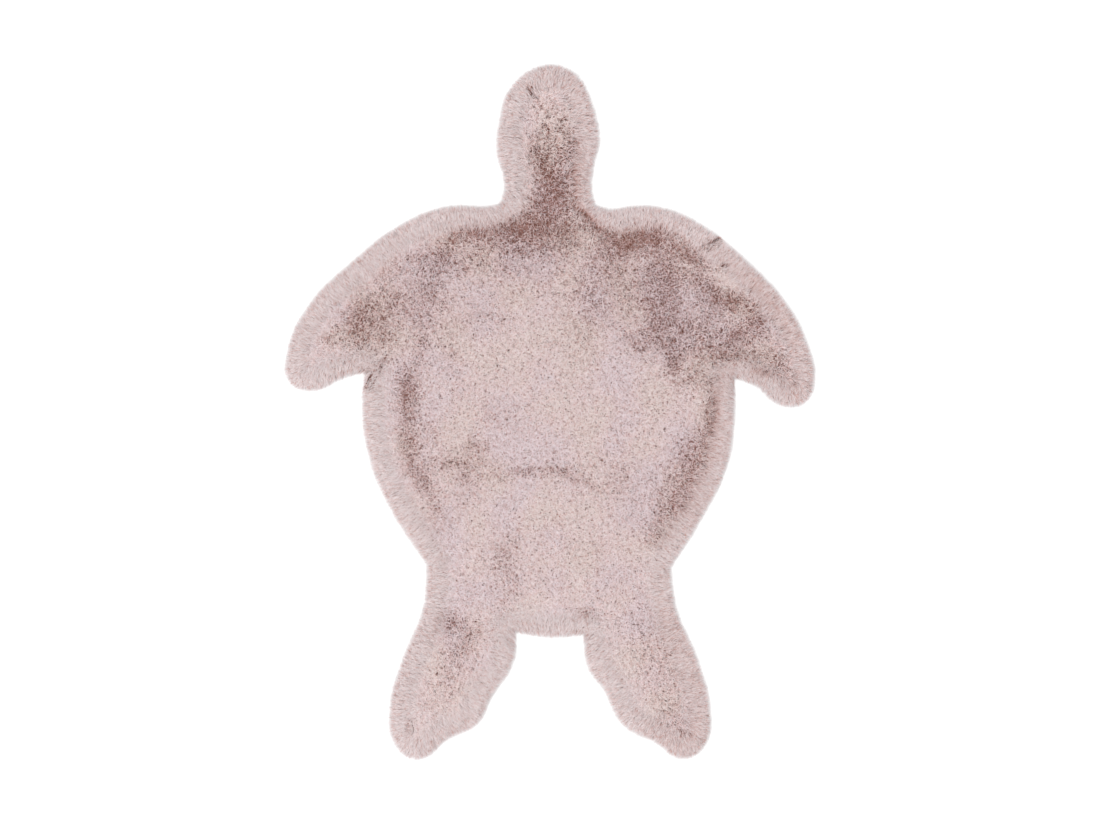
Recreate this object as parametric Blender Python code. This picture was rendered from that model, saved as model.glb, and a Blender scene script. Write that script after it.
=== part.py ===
"""A kids rug of plush faux fur, cut to the outline of a turtle and lying flat on a floor.

The rug is one piece of pile cloth: a lumpy slab of fur on a flat underside, whose rim breaks into small locks.
Metres, +Z up, +Y from the hind flippers to the head. The origin is on the floor, under the middle of the
rug's bounding box.
"""

import math
import random
from collections import namedtuple

import bmesh
import bpy
from mathutils import Matrix, Vector, geometry, kdtree, noise

MM = 0.001

# Driving dimensions
RUG_LENGTH = 900 * MM  # nose to the tips of the hind flippers, over the locks
PILE_HEIGHT = 17 * MM  # cloth and pile together, where the fur stands evenly
RIM_ROLL = 26 * MM  # the fur rolls down to the floor over this width
FOOT_INSET = 6 * MM  # the underside ends this far inside the reach of the fur

# Locks of fur round the rim
LOCK_COUNT = 300
LOCK_TIP_REACH = 2.4 * MM  # tips stand out of the mean outline by this much
LOCK_GAP_INSET = 2.6 * MM  # the gaps between locks lie inside it by this much
LOCK_UNEVENNESS = 1.5 * MM
LOCK_LEAN = 2.0 * MM  # tips lean along the rim by up to this much
LOCK_TIP_HEIGHT = 3.0 * MM
LOCK_GAP_HEIGHT = 6.5 * MM
NOTCH_TURN = math.radians(14)  # where the rim turns in more sharply, no tip stands out
LOCK_CREST = 1.2 * MM  # the middle of a lock stands above the rolled surface

# Lumps of the pile
LUMP_PITCH = 42 * MM
LUMP_HEIGHT = 2.4 * MM
SMALL_LUMP_PITCH = 19 * MM
SMALL_LUMP_HEIGHT = 1.6 * MM

# Spacing of the surface's points
CREST_ROW_INSET = 6 * MM
ROLL_ROW_INSET = 14 * MM
ROLL_ROW_COUNT = 200
FIELD_INSET = 22 * MM
FIELD_PITCH = 13 * MM
LEAST_SPACING = 5.5 * MM
GUIDE_COUNT = 1200

FUR_COLOUR = (0.65, 0.52, 0.52, 1.0)
FUR_ROUGHNESS = 0.95
FUR_SHEEN = 0.4
SMOOTH_ANGLE = math.radians(75)
SEED = 11

# The outline's stations, clockwise from the nose, in millimetres from the middle of the rug
ROUND, CORNER = "AUTO", "VECTOR"
Station = namedtuple("Station", "x y kind")

HEAD_RIGHT = (
    Station(-5, 450, ROUND),
    Station(34, 437, ROUND),
    Station(54, 398, ROUND),
    Station(63, 353, ROUND),
    Station(56, 320, ROUND),
    Station(53, 288, ROUND),
)
FRONT_FLIPPER_RIGHT = (
    Station(59, 267, CORNER),
    Station(81, 262, CORNER),
    Station(116, 267, ROUND),
    Station(152, 263, ROUND),
    Station(202, 239, ROUND),
    Station(259, 192, ROUND),
    Station(309, 137, ROUND),
    Station(334, 87, ROUND),
    Station(343, 44, ROUND),
    Station(331, 13, ROUND),
    Station(300, 10, ROUND),
    Station(269, 34, ROUND),
    Station(237, 47, CORNER),
)
SHELL_RIGHT = (
    Station(239, -4, ROUND),
    Station(229, -70, ROUND),
    Station(196, -139, ROUND),
    Station(155, -204, CORNER),
)
HIND_FLIPPER_RIGHT = (
    Station(164, -259, ROUND),
    Station(190, -320, ROUND),
    Station(207, -389, ROUND),
    Station(200, -434, ROUND),
    Station(172, -450, ROUND),
    Station(138, -429, ROUND),
    Station(95, -406, ROUND),
    Station(71, -361, ROUND),
    Station(50, -331, ROUND),
)
TAIL = (
    Station(45, -288, CORNER),
    Station(-2, -292, ROUND),
    Station(-46, -285, CORNER),
)
HIND_FLIPPER_LEFT = (
    Station(-49, -326, ROUND),
    Station(-77, -371, ROUND),
    Station(-95, -405, ROUND),
    Station(-134, -425, ROUND),
    Station(-172, -451, ROUND),
    Station(-200, -433, ROUND),
    Station(-207, -384, ROUND),
    Station(-190, -320, ROUND),
    Station(-164, -255, ROUND),
)
SHELL_LEFT = (
    Station(-159, -198, CORNER),
    Station(-203, -132, ROUND),
    Station(-235, -56, ROUND),
    Station(-243, 13, ROUND),
)
FRONT_FLIPPER_LEFT = (
    Station(-239, 54, CORNER),
    Station(-272, 44, ROUND),
    Station(-307, 29, ROUND),
    Station(-338, 40, ROUND),
    Station(-340, 80, ROUND),
    Station(-316, 134, ROUND),
    Station(-259, 193, ROUND),
    Station(-193, 243, ROUND),
    Station(-138, 265, ROUND),
    Station(-82, 266, CORNER),
)
HEAD_LEFT = (
    Station(-64, 270, CORNER),
    Station(-58, 294, ROUND),
    Station(-68, 338, ROUND),
    Station(-65, 377, ROUND),
    Station(-51, 420, ROUND),
)
OUTLINE = (
    HEAD_RIGHT
    + FRONT_FLIPPER_RIGHT
    + SHELL_RIGHT
    + HIND_FLIPPER_RIGHT
    + TAIL
    + HIND_FLIPPER_LEFT
    + SHELL_LEFT
    + FRONT_FLIPPER_LEFT
    + HEAD_LEFT
)

# Hollows where the fur is pressed or brushed apart: middle, half sizes and depth in millimetres,
# and the heading of the long side in degrees from +X
Hollow = namedtuple("Hollow", "x y half_length half_width heading depth")
HOLLOWS = (
    Hollow(x=-3, y=301, half_length=52, half_width=24, heading=90, depth=2.5),  # neck
    Hollow(x=32, y=246, half_length=46, half_width=20, heading=-32, depth=2.2),  # nape
    Hollow(x=-69, y=232, half_length=86, half_width=18, heading=6, depth=3.0),  # left shoulder
    Hollow(x=129, y=223, half_length=54, half_width=18, heading=-6, depth=3.0),  # right shoulder
    Hollow(x=239, y=130, half_length=62, half_width=38, heading=-44, depth=2.5),  # right flipper
    Hollow(x=148, y=139, half_length=52, half_width=40, heading=80, depth=2.0),  # shell, front right
    Hollow(x=-234, y=117, half_length=46, half_width=32, heading=38, depth=2.5),  # left flipper
    Hollow(x=-176, y=-23, half_length=80, half_width=16, heading=99, depth=2.5),  # left flank
    Hollow(x=176, y=-67, half_length=85, half_width=19, heading=67, depth=2.5),  # right flank
    Hollow(x=-111, y=-66, half_length=46, half_width=26, heading=8, depth=1.3),  # shell, rear left
    Hollow(x=-14, y=-91, half_length=50, half_width=13, heading=4, depth=1.3),  # shell, middle
    Hollow(x=-50, y=-195, half_length=44, half_width=22, heading=84, depth=1.3),  # above the tail
    Hollow(x=-120, y=-275, half_length=40, half_width=18, heading=8, depth=1.6),  # left hind flipper
)

# The parting in the fur that runs in from the notch behind the left front flipper, in millimetres
Place = namedtuple("Place", "x y")
PARTING = (Place(-236, 38), Place(-229, 50), Place(-220, 58), Place(-214, 69))
PARTING_HALF_WIDTH = 5 * MM
PARTING_DEPTH = 5 * MM
PARTING_STEP = 6 * MM


def clear_scene():
    for scene_object in list(bpy.data.objects):
        bpy.data.objects.remove(scene_object, do_unlink=True)


def evaluated_points(stations):
    """The points of a smooth closed curve through the stations, in metres."""
    data = bpy.data.curves.new("outline_guide", "CURVE")
    data.dimensions = "2D"
    data.fill_mode = "NONE"
    data.resolution_u = 16
    spline = data.splines.new("BEZIER")
    spline.bezier_points.add(len(stations) - 1)
    spline.use_cyclic_u = True
    for point, station in zip(spline.bezier_points, stations):
        point.co = (station.x * MM, station.y * MM, 0)
        point.handle_left_type = station.kind
        point.handle_right_type = station.kind
    guide = bpy.data.objects.new("outline_guide", data)
    bpy.context.scene.collection.objects.link(guide)
    graph = bpy.context.evaluated_depsgraph_get()
    mesh = bpy.data.meshes.new_from_object(guide.evaluated_get(graph))
    points = [vertex.co.to_2d() for vertex in mesh.vertices]
    bpy.data.objects.remove(guide)
    bpy.data.meshes.remove(mesh)
    return points


def evenly_spaced(points, count):
    """count points at even steps along a closed line."""
    corners = points + points[:1]
    runs = [(b - a).length for a, b in zip(corners, corners[1:])]
    step = sum(runs) / count
    spaced = []
    index, passed = 0, 0.0
    for number in range(count):
        distance = number * step
        while distance > passed + runs[index]:
            passed += runs[index]
            index += 1
        share = (distance - passed) / runs[index]
        spaced.append(corners[index].lerp(corners[index + 1], share))
    return spaced


def outward_normals(line):
    """Unit normals of a closed clockwise line, each taken over its two neighbours."""
    count = len(line)
    normals = []
    for index in range(count):
        along = line[(index + 1) % count] - line[index - 1]
        normals.append(Vector((-along.y, along.x)).normalized())
    return normals


def tree_of(points):
    tree = kdtree.KDTree(len(points))
    for index, point in enumerate(points):
        tree.insert(point.to_3d(), index)
    tree.balance()
    return tree


def lock_rim(outline, normals, rng):
    """The rim's points, a tip and a gap for each lock: places on the floor plan, and heights."""
    count = len(outline)
    places, heights = [], []
    for index, (point, normal) in enumerate(zip(outline, normals)):
        before = point - outline[index - 1]
        after = outline[(index + 1) % count] - point
        in_notch = before.angle_signed(after) < -NOTCH_TURN
        uneven = rng.uniform(-LOCK_UNEVENNESS, LOCK_UNEVENNESS)
        lean = rng.uniform(-LOCK_LEAN, LOCK_LEAN)
        if index % 2 == 0 and not in_notch:
            reach = LOCK_TIP_REACH + uneven
            height = LOCK_TIP_HEIGHT + 0.5 * uneven
        else:
            reach = 0.6 * uneven - LOCK_GAP_INSET
            lean *= 0.3
            height = LOCK_GAP_HEIGHT + uneven
        places.append(point + normal * reach + (before + after).normalized() * lean)
        heights.append(height)
    return places, heights


def inset_row(line, normals, inset, tree):
    """The line moved inwards, without the points that come too near another stretch of it."""
    row = []
    for point, normal in zip(line, normals):
        moved = point - normal * inset
        if tree.find(moved.to_3d())[2] > 0.93 * inset:
            row.append(moved)
    return row


def field_points(outline, tree):
    """An even triangular grid of points over the rug, well inside its rim."""
    low_x, high_x = min(p.x for p in outline), max(p.x for p in outline)
    low_y, high_y = min(p.y for p in outline), max(p.y for p in outline)
    row_step = FIELD_PITCH * math.sqrt(3) / 2
    points = []
    for row in range(int((high_y - low_y) / row_step) + 1):
        shift = FIELD_PITCH / 2 * (row % 2)
        for column in range(int((high_x - low_x) / FIELD_PITCH) + 1):
            point = Vector((low_x + shift + column * FIELD_PITCH, low_y + row * row_step))
            if tree.find(point.to_3d())[2] > FIELD_INSET:
                points.append(point)
    return points


def parting_points():
    """Points along the parting's bed and both of its banks."""
    corners = [Vector((place.x * MM, place.y * MM)) for place in PARTING]
    points = []
    for start, end in zip(corners, corners[1:]):
        across = (end - start).orthogonal().normalized() * PARTING_HALF_WIDTH
        steps = max(1, round((end - start).length / PARTING_STEP))
        for step in range(steps):
            bed = start.lerp(end, (step + 0.5) / steps)
            points += [bed, bed + across, bed - across]
    return points


def well_spaced(points, fixed):
    """The points, less any that lie too near a fixed point or an earlier one."""
    cells = {}

    def crowded(point, column, row):
        near = (p for i in (-1, 0, 1) for j in (-1, 0, 1) for p in cells.get((column + i, row + j), ()))
        return any((point - other).length < LEAST_SPACING for other in near)

    kept = []
    for order, point in enumerate(fixed + points):
        column, row = math.floor(point.x / LEAST_SPACING), math.floor(point.y / LEAST_SPACING)
        if order >= len(fixed):
            if crowded(point, column, row):
                continue
            kept.append(point)
        cells.setdefault((column, row), []).append(point)
    return kept


def hollow_depth(point):
    depth = 0.0
    for hollow in HOLLOWS:
        offset = point - Vector((hollow.x * MM, hollow.y * MM))
        offset.rotate(Matrix.Rotation(-math.radians(hollow.heading), 2))
        reach = math.hypot(offset.x / (hollow.half_length * MM), offset.y / (hollow.half_width * MM))
        depth += hollow.depth * MM * math.exp(-(reach**2))
    return depth


def parting_depth(point):
    corners = [Vector((place.x * MM, place.y * MM, 0)) for place in PARTING]
    nearest = math.inf
    for start, end in zip(corners, corners[1:]):
        foot, share = geometry.intersect_point_line(point.to_3d(), start, end)
        foot = start.lerp(end, min(1.0, max(0.0, share)))
        nearest = min(nearest, (point.to_3d() - foot).length)
    return PARTING_DEPTH * max(0.0, 1 - nearest / PARTING_HALF_WIDTH)


def pile_height(point, inset):
    """The height of the fur's surface at a place that lies inset from the outline."""
    rise = min(1.0, inset / RIM_ROLL)
    roll = math.sqrt(1 - (1 - rise) ** 2)
    lumps = LUMP_HEIGHT * noise.noise(point.to_3d() / LUMP_PITCH)
    lumps += SMALL_LUMP_HEIGHT * noise.noise(point.to_3d() / SMALL_LUMP_PITCH)
    return roll * (PILE_HEIGHT + lumps - hollow_depth(point)) - rise * parting_depth(point)


def fur_surface(outline, normals, rng):
    """The mesh of the fur's upper surface, open at the rim, and the rim's own points."""
    tree = tree_of(evenly_spaced(outline, GUIDE_COUNT))
    rim, rim_heights = lock_rim(outline, normals, rng)
    crests = inset_row(outline[::2], normals[::2], CREST_ROW_INSET, tree)
    roll_line = evenly_spaced(outline, ROLL_ROW_COUNT)
    roll = inset_row(roll_line, outward_normals(roll_line), ROLL_ROW_INSET, tree)
    inner = well_spaced(parting_points() + crests + roll + field_points(outline, tree), rim)
    inside_constraints = 1
    places, _, faces, sources, _, _ = geometry.delaunay_2d_cdt(
        rim + inner, [], [range(len(rim))], inside_constraints, LEAST_SPACING / 1000
    )
    crest_tree = tree_of(crests)
    points = []
    for place, source in zip(places, sources):
        rim_index = next((i for i in source if i < len(rim)), None)
        if rim_index is not None:
            height = rim_heights[rim_index]
        else:
            height = pile_height(place, tree.find(place.to_3d())[2])
            if crest_tree.find(place.to_3d())[2] < MM:
                height += LOCK_CREST
        points.append((place.x, place.y, height))
    mesh = bpy.data.meshes.new("rug")
    mesh.from_pydata(points, [], faces)
    return mesh, rim


def add_underside(rug, rim, outline, normals):
    """Draws the rim's edge down and inwards to the floor, and fills the flat underside."""
    rim_tree = tree_of(rim)
    bmesh.ops.delete(rug, geom=[v for v in rug.verts if not v.link_faces], context="VERTS")
    rim_edges = [edge for edge in rug.edges if edge.is_boundary]
    drawn = bmesh.ops.extrude_edge_only(rug, edges=rim_edges)["geom"]
    for vertex in (item for item in drawn if isinstance(item, bmesh.types.BMVert)):
        index = rim_tree.find(Vector((vertex.co.x, vertex.co.y, 0)))[1]
        vertex.co = (outline[index] - normals[index] * FOOT_INSET).to_3d()
    foot_edges = [item for item in drawn if isinstance(item, bmesh.types.BMEdge)]
    bmesh.ops.triangle_fill(rug, edges=foot_edges, use_beauty=True)
    bmesh.ops.recalc_face_normals(rug, faces=rug.faces)


def fit_to_origin(rug):
    """Gives the rug its exact length and puts the middle of its bounding box over the origin."""
    low = Vector((min(v.co.x for v in rug.verts), min(v.co.y for v in rug.verts), 0))
    high = Vector((max(v.co.x for v in rug.verts), max(v.co.y for v in rug.verts), 0))
    factor = RUG_LENGTH / (high.y - low.y)
    bmesh.ops.translate(rug, verts=rug.verts, vec=-(low + high) / 2)
    bmesh.ops.scale(rug, verts=rug.verts, vec=(factor, factor, 1))


def fur_material():
    material = bpy.data.materials.new("plush")
    material.use_nodes = True
    shader = material.node_tree.nodes["Principled BSDF"]
    shader.inputs["Base Color"].default_value = FUR_COLOUR
    shader.inputs["Roughness"].default_value = FUR_ROUGHNESS
    shader.inputs["Sheen Weight"].default_value = FUR_SHEEN
    return material


def build_rug():
    rng = random.Random(SEED)
    outline = evenly_spaced(evaluated_points(OUTLINE), 2 * LOCK_COUNT)
    normals = outward_normals(outline)
    mesh, rim = fur_surface(outline, normals, rng)
    rug = bmesh.new()
    rug.from_mesh(mesh)
    add_underside(rug, rim, outline, normals)
    fit_to_origin(rug)
    rug.to_mesh(mesh)
    rug.free()
    mesh.materials.append(fur_material())
    mesh.shade_smooth()
    mesh.set_sharp_from_angle(angle=SMOOTH_ANGLE)
    return bpy.data.objects.new("rug", mesh)


def main():
    clear_scene()
    collection = bpy.data.collections.new("turtle_rug")
    bpy.context.scene.collection.children.link(collection)
    collection.objects.link(build_rug())


main()
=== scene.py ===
"""Dresses the turtle-shaped kids rug: strands of plush fur over a dense under-pile and a knitted ground.

Metres, +Z up, +Y from the hind flippers to the head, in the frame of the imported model. Tables of places are
in millimetres from the middle of the rug. An inset is how far a place lies inside the reach of the fur.
"""

import math
from collections import namedtuple

import bmesh
import bpy
import numpy as np
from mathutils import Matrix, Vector, geometry, kdtree, noise
from mathutils.bvhtree import BVHTree


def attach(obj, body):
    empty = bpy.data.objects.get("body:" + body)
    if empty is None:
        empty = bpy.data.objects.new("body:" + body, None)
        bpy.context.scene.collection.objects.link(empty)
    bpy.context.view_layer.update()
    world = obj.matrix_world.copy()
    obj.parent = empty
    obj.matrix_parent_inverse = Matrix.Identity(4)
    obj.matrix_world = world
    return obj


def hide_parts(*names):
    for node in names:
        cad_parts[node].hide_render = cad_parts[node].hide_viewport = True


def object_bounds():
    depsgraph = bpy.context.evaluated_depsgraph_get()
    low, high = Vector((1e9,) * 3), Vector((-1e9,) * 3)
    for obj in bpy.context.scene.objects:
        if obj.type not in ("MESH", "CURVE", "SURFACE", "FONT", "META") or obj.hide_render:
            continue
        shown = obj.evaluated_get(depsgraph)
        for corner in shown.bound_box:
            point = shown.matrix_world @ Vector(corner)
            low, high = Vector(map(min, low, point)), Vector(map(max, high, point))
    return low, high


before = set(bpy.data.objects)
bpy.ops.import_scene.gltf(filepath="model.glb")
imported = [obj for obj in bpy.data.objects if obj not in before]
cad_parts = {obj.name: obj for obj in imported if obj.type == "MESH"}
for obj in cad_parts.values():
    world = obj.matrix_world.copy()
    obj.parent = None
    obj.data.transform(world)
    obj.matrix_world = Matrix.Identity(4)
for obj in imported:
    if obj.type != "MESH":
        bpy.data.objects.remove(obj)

CAD_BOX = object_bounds()
MM = 0.001
SEED = 5

# The rug and its cut
FOOT_INSET = 6 * MM  # from the reach of the fur in to the edge of the flat underside
FOOT_PARTS = 10  # samples on each side of that edge
RIM_BAND = (2 * MM, 26 * MM)  # the fur rolls down to the floor between these insets
ON_FLOOR = 0.1 * MM  # faces lower than this are the underside
SAME_PLACE = 1e-6  # points closer than this are one
NOT_ZERO = 1e-9  # added to lengths before a division

# Grids of places. A jitter is a share of its grid's pitch
GRID_MARGIN = 6 * MM  # how far they reach beyond the CAD box

# Smooth noise: the pitch of its lumps, and a level of its own for each use
Lumps = namedtuple("Lumps", "pitch level")
SHADE_LUMPS = Lumps(pitch=14 * MM, level=2.5)
UNDER_LUMPS = Lumps(pitch=6 * MM, level=3.5)
HUE_LUMPS = Lumps(pitch=45 * MM, level=4.5)
OPENING_LUMPS = Lumps(pitch=4 * MM, level=6.5)
COMB_LUMPS = Lumps(pitch=16 * MM, level=8.5)

# The under-pile, the dense lower part of the fur that closes the view between the strands. Its dark colour
# is painted shade of the pile's depth
UNDER_SHARE = 0.56  # its height, as a share of the fur's
UNDER_PITCH = 4 * MM
UNDER_JITTER = 0.2
UNDER_CLEARANCE = 0.6 * UNDER_PITCH  # its inner points keep this far off its edge
UNDER_EDGE = 1.5 * MM
UNDER_LUMP = 0.8 * MM

# The strands
STRAND_PITCH = 1.1 * MM
STRAND_JITTER = 0.4
STRAND_LENGTH = 13 * MM  # the part of a strand that stands out of the under-pile
STRAND_LENGTHS = (0.85, 1.1)  # strands differ between these shares of it
STRAND_DEPTH = 8 * MM  # from the tip down to the root
ROOT_WIDTH = 0.95 * MM
MIDDLE_WIDTH = 0.8 * MM
THINNER_IN_HOLLOWS = 0.3
MIDDLE_SHARE = 0.5  # where the bend is, from root to tip
BEND_BACK = 0.07  # seen from above, it lies nearer the root by this share
STRAND_TWIST = math.radians(35)
STRAND_RISE = 0.5 * MM  # tips are uneven by this much
MOST_RISE = 1.2 * MM
MIDDLE_RISE = 0.8  # bends are uneven by this share of what tips are
EVENER_AT_RIM = 0.7  # and tips at the rim are less so by this share
TIP_SINK = 0.5 * MM  # tips lie this far below the solid's surface on average
LEAST_ROOT = 1.6 * MM
LEAST_MIDDLE = 0.8 * MM
LEAST_TIP = 0.5 * MM
LOW_TIPS = (0.8, 3.2)  # millimetres: tips sink to a height between these, where the solid ends
SOFT_EDGE = (-5.0 * MM, -2.0 * MM)  # the fur thins out between these insets

# The lie of the fur: angles from upright
RIM_LEAN = math.radians(66)
FIELD_LEAN = math.radians(36)
HOLLOW_LEAN = math.radians(22)
HOLLOW_LEAN_SHARE = 0.8  # how far the darkest hollow goes towards its own lean
LEAN_SPREAD = 0.12
RIM_SHADE_BAND = (14 * MM, 44 * MM)  # strands take the rim's painted shade up to this inset, and fewer and fewer of them to the next
LIE_BLUR = 24 * MM  # how far in the rim turns the lie of the fur outwards
RIM_DRIFT = 0.16  # how much a strand's own heading counts at the rim, where the lie counts as 1
FIELD_DRIFT = 0.5  # and how much more away from it
DROOP = 1.2 * MM  # a strand bends this far below the level of its tip
DROOP_IN_HOLLOWS = 4.5 * MM
DROOP_AT_RIM = 0.3 * MM

# The head's fur is combed in streaks, and the neck's a little. Angles are in radians
COMBED_HEAD = (270 * MM, 330 * MM)  # combing starts at the first y and is full from the second
COMBED_SHARE = 0.8  # of the locks, where it is full
COMB_SWING = 1.5 * math.pi  # how far it turns from streak to streak
COMB_SPREAD = 0.8  # how far a combed lock strays from its streak
HEAD_SPREAD = 0.6  # how far a strand of the head strays from its lock
FIELD_SPREAD = 2.0  # and one elsewhere

# Locks, in which tips gather, and tufts, in which locks gather
LOCK_PITCH = 2.2 * MM
LOCK_JITTER = 0.38
LOCK_EDGE = -3 * MM  # locks have at least this inset
LOCK_PULL = 0.12
LOCK_PULL_IN_HOLLOWS = 0.42
LOCK_PULLS = (0.6, 1.2)  # strands differ between these shares of it
LOCK_RISE = 0.25 * MM
MOST_TONE = 2  # a lock is lower and darker, or higher and paler, by at most this many times the usual. The darkness is random tone and painted shade of its depth
TUFT_PITCH = 4.0 * MM
TUFT_JITTER = 0.38
TUFT_EDGE = -2 * MM
TUFT_PULL_IN_HOLLOWS = 0.2
SHADE_UNEVENNESS = 0.2  # a hollow's shade is uneven by this share
DEEP_SHARE = 0.2  # how many of a hollow's locks lie deep, with painted shade as dark as can be
DEEP_FALL = 1.5 * MM

# Places where the fur is pressed or brushed apart, so that its depth shows, darkened in the strands' colour
# as
# painted shade: the middle and half sizes, the heading of the long side in degrees from +X, and how much of
# the depth shows
Hollow = namedtuple("Hollow", "x y half_length half_width heading shade")
HOLLOWS = (
    Hollow(x=-12, y=322, half_length=28, half_width=18, heading=110, shade=0.28),  # neck
    Hollow(x=10, y=286, half_length=36, half_width=22, heading=98, shade=0.52),
    Hollow(x=-12, y=268, half_length=20, half_width=16, heading=0, shade=0.42),
    Hollow(x=34, y=340, half_length=32, half_width=15, heading=100, shade=0.24),
    Hollow(x=38, y=292, half_length=28, half_width=9, heading=95, shade=0.3),
    Hollow(x=54, y=248, half_length=28, half_width=9, heading=-48, shade=0.5),  # nape
    Hollow(x=-35, y=238, half_length=40, half_width=17, heading=12, shade=0.7),  # left shoulder
    Hollow(x=-98, y=232, half_length=34, half_width=11, heading=5, shade=0.62),
    Hollow(x=-140, y=203, half_length=46, half_width=24, heading=10, shade=0.24),
    Hollow(x=12, y=232, half_length=30, half_width=16, heading=0, shade=0.38),  # between the shoulders
    Hollow(x=-20, y=212, half_length=60, half_width=15, heading=0, shade=0.26),
    Hollow(x=-80, y=190, half_length=70, half_width=16, heading=0, shade=0.1),
    Hollow(x=78, y=228, half_length=30, half_width=12, heading=-20, shade=0.25),
    Hollow(x=-208, y=184, half_length=40, half_width=14, heading=32, shade=0.14),  # shell, front left
    Hollow(x=-152, y=155, half_length=34, half_width=20, heading=90, shade=0.2),
    Hollow(x=-163, y=82, half_length=30, half_width=14, heading=90, shade=0.15),
    Hollow(x=128, y=226, half_length=28, half_width=17, heading=0, shade=0.82),  # right shoulder
    Hollow(x=94, y=217, half_length=19, half_width=16, heading=0, shade=0.7),
    Hollow(x=180, y=205, half_length=28, half_width=13, heading=-35, shade=0.55),
    Hollow(x=74, y=194, half_length=38, half_width=20, heading=-30, shade=0.18),
    Hollow(x=132, y=182, half_length=34, half_width=17, heading=60, shade=0.27),
    Hollow(x=196, y=166, half_length=36, half_width=14, heading=-25, shade=0.3),
    Hollow(x=98, y=142, half_length=30, half_width=30, heading=0, shade=0.13),  # shell, front right
    Hollow(x=155, y=162, half_length=34, half_width=14, heading=92, shade=0.36),
    Hollow(x=138, y=128, half_length=32, half_width=20, heading=90, shade=0.22),
    Hollow(x=148, y=92, half_length=24, half_width=12, heading=100, shade=0.16),
    Hollow(x=190, y=42, half_length=32, half_width=14, heading=0, shade=0.22),
    Hollow(x=160, y=64, half_length=18, half_width=12, heading=90, shade=0.32),
    Hollow(x=118, y=90, half_length=24, half_width=16, heading=0, shade=0.22),
    Hollow(x=192, y=108, half_length=50, half_width=38, heading=0, shade=0.24),  # right front flipper
    Hollow(x=232, y=143, half_length=27, half_width=13, heading=-5, shade=0.48),
    Hollow(x=268, y=120, half_length=22, half_width=12, heading=-60, shade=0.45),
    Hollow(x=246, y=100, half_length=16, half_width=12, heading=0, shade=0.42),
    Hollow(x=232, y=74, half_length=44, half_width=15, heading=0, shade=0.34),
    Hollow(x=266, y=47, half_length=36, half_width=10, heading=-8, shade=0.1),
    Hollow(x=272, y=50, half_length=15, half_width=9, heading=-30, shade=0.32),
    Hollow(x=304, y=50, half_length=44, half_width=20, heading=-60, shade=0.26),
    Hollow(x=262, y=168, half_length=66, half_width=14, heading=-42, shade=0.2),
    Hollow(x=306, y=104, half_length=44, half_width=16, heading=-62, shade=0.2),
    Hollow(x=50, y=136, half_length=62, half_width=34, heading=75, shade=0.14),  # shell, front
    Hollow(x=-85, y=122, half_length=34, half_width=18, heading=0, shade=0.12),
    Hollow(x=-30, y=174, half_length=85, half_width=28, heading=0, shade=0.11),
    Hollow(x=-128, y=88, half_length=50, half_width=18, heading=95, shade=0.12),
    Hollow(x=-246, y=119, half_length=22, half_width=14, heading=80, shade=0.28),  # left front flipper
    Hollow(x=-244, y=112, half_length=42, half_width=36, heading=90, shade=0.22),
    Hollow(x=-292, y=93, half_length=22, half_width=20, heading=0, shade=0.1),
    Hollow(x=-212, y=95, half_length=22, half_width=16, heading=0, shade=0.16),
    Hollow(x=-163, y=98, half_length=40, half_width=14, heading=90, shade=0.08),
    Hollow(x=-196, y=140, half_length=40, half_width=30, heading=30, shade=0.2),
    Hollow(x=-184, y=26, half_length=32, half_width=14, heading=93, shade=0.46),  # left flank
    Hollow(x=-184, y=-42, half_length=42, half_width=15, heading=100, shade=0.32),
    Hollow(x=-165, y=-86, half_length=26, half_width=14, heading=112, shade=0.22),
    Hollow(x=-150, y=-132, half_length=40, half_width=14, heading=105, shade=0.16),
    Hollow(x=-150, y=-28, half_length=18, half_width=14, heading=90, shade=0.14),
    Hollow(x=212, y=2, half_length=40, half_width=14, heading=82, shade=0.42),  # right flank
    Hollow(x=192, y=-62, half_length=44, half_width=23, heading=68, shade=0.36),
    Hollow(x=170, y=-76, half_length=46, half_width=24, heading=66, shade=0.1),
    Hollow(x=165, y=-122, half_length=36, half_width=24, heading=54, shade=0.34),
    Hollow(x=138, y=-160, half_length=20, half_width=18, heading=0, shade=0.18),
    Hollow(x=-98, y=-46, half_length=18, half_width=16, heading=0, shade=0.18),  # shell, rear
    Hollow(x=-132, y=-66, half_length=22, half_width=9, heading=0, shade=0.24),
    Hollow(x=-105, y=-80, half_length=40, half_width=22, heading=70, shade=0.12),
    Hollow(x=-26, y=-76, half_length=58, half_width=8, heading=3, shade=0.24),
    Hollow(x=34, y=-86, half_length=28, half_width=7, heading=-22, shade=0.22),
    Hollow(x=88, y=-92, half_length=40, half_width=24, heading=-50, shade=0.11),
    Hollow(x=-60, y=-4, half_length=30, half_width=14, heading=-20, shade=0.1),
    Hollow(x=-58, y=-185, half_length=28, half_width=14, heading=60, shade=0.18),  # above the tail
    Hollow(x=-50, y=-230, half_length=26, half_width=13, heading=70, shade=0.13),
    Hollow(x=45, y=-261, half_length=18, half_width=10, heading=20, shade=0.2),
    Hollow(x=-132, y=-270, half_length=19, half_width=14, heading=0, shade=0.32),  # left hind flipper
    Hollow(x=-100, y=-285, half_length=15, half_width=12, heading=0, shade=0.2),
    Hollow(x=-118, y=-304, half_length=40, half_width=20, heading=-20, shade=0.12),
    Hollow(x=-130, y=-350, half_length=50, half_width=28, heading=70, shade=0.1),
    Hollow(x=156, y=-315, half_length=90, half_width=36, heading=-72, shade=0.2),  # right hind flipper
    Hollow(x=165, y=-412, half_length=40, half_width=30, heading=-20, shade=0.2),
    Hollow(x=8, y=375, half_length=70, half_width=50, heading=90, shade=0.14),  # head
)
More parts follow.
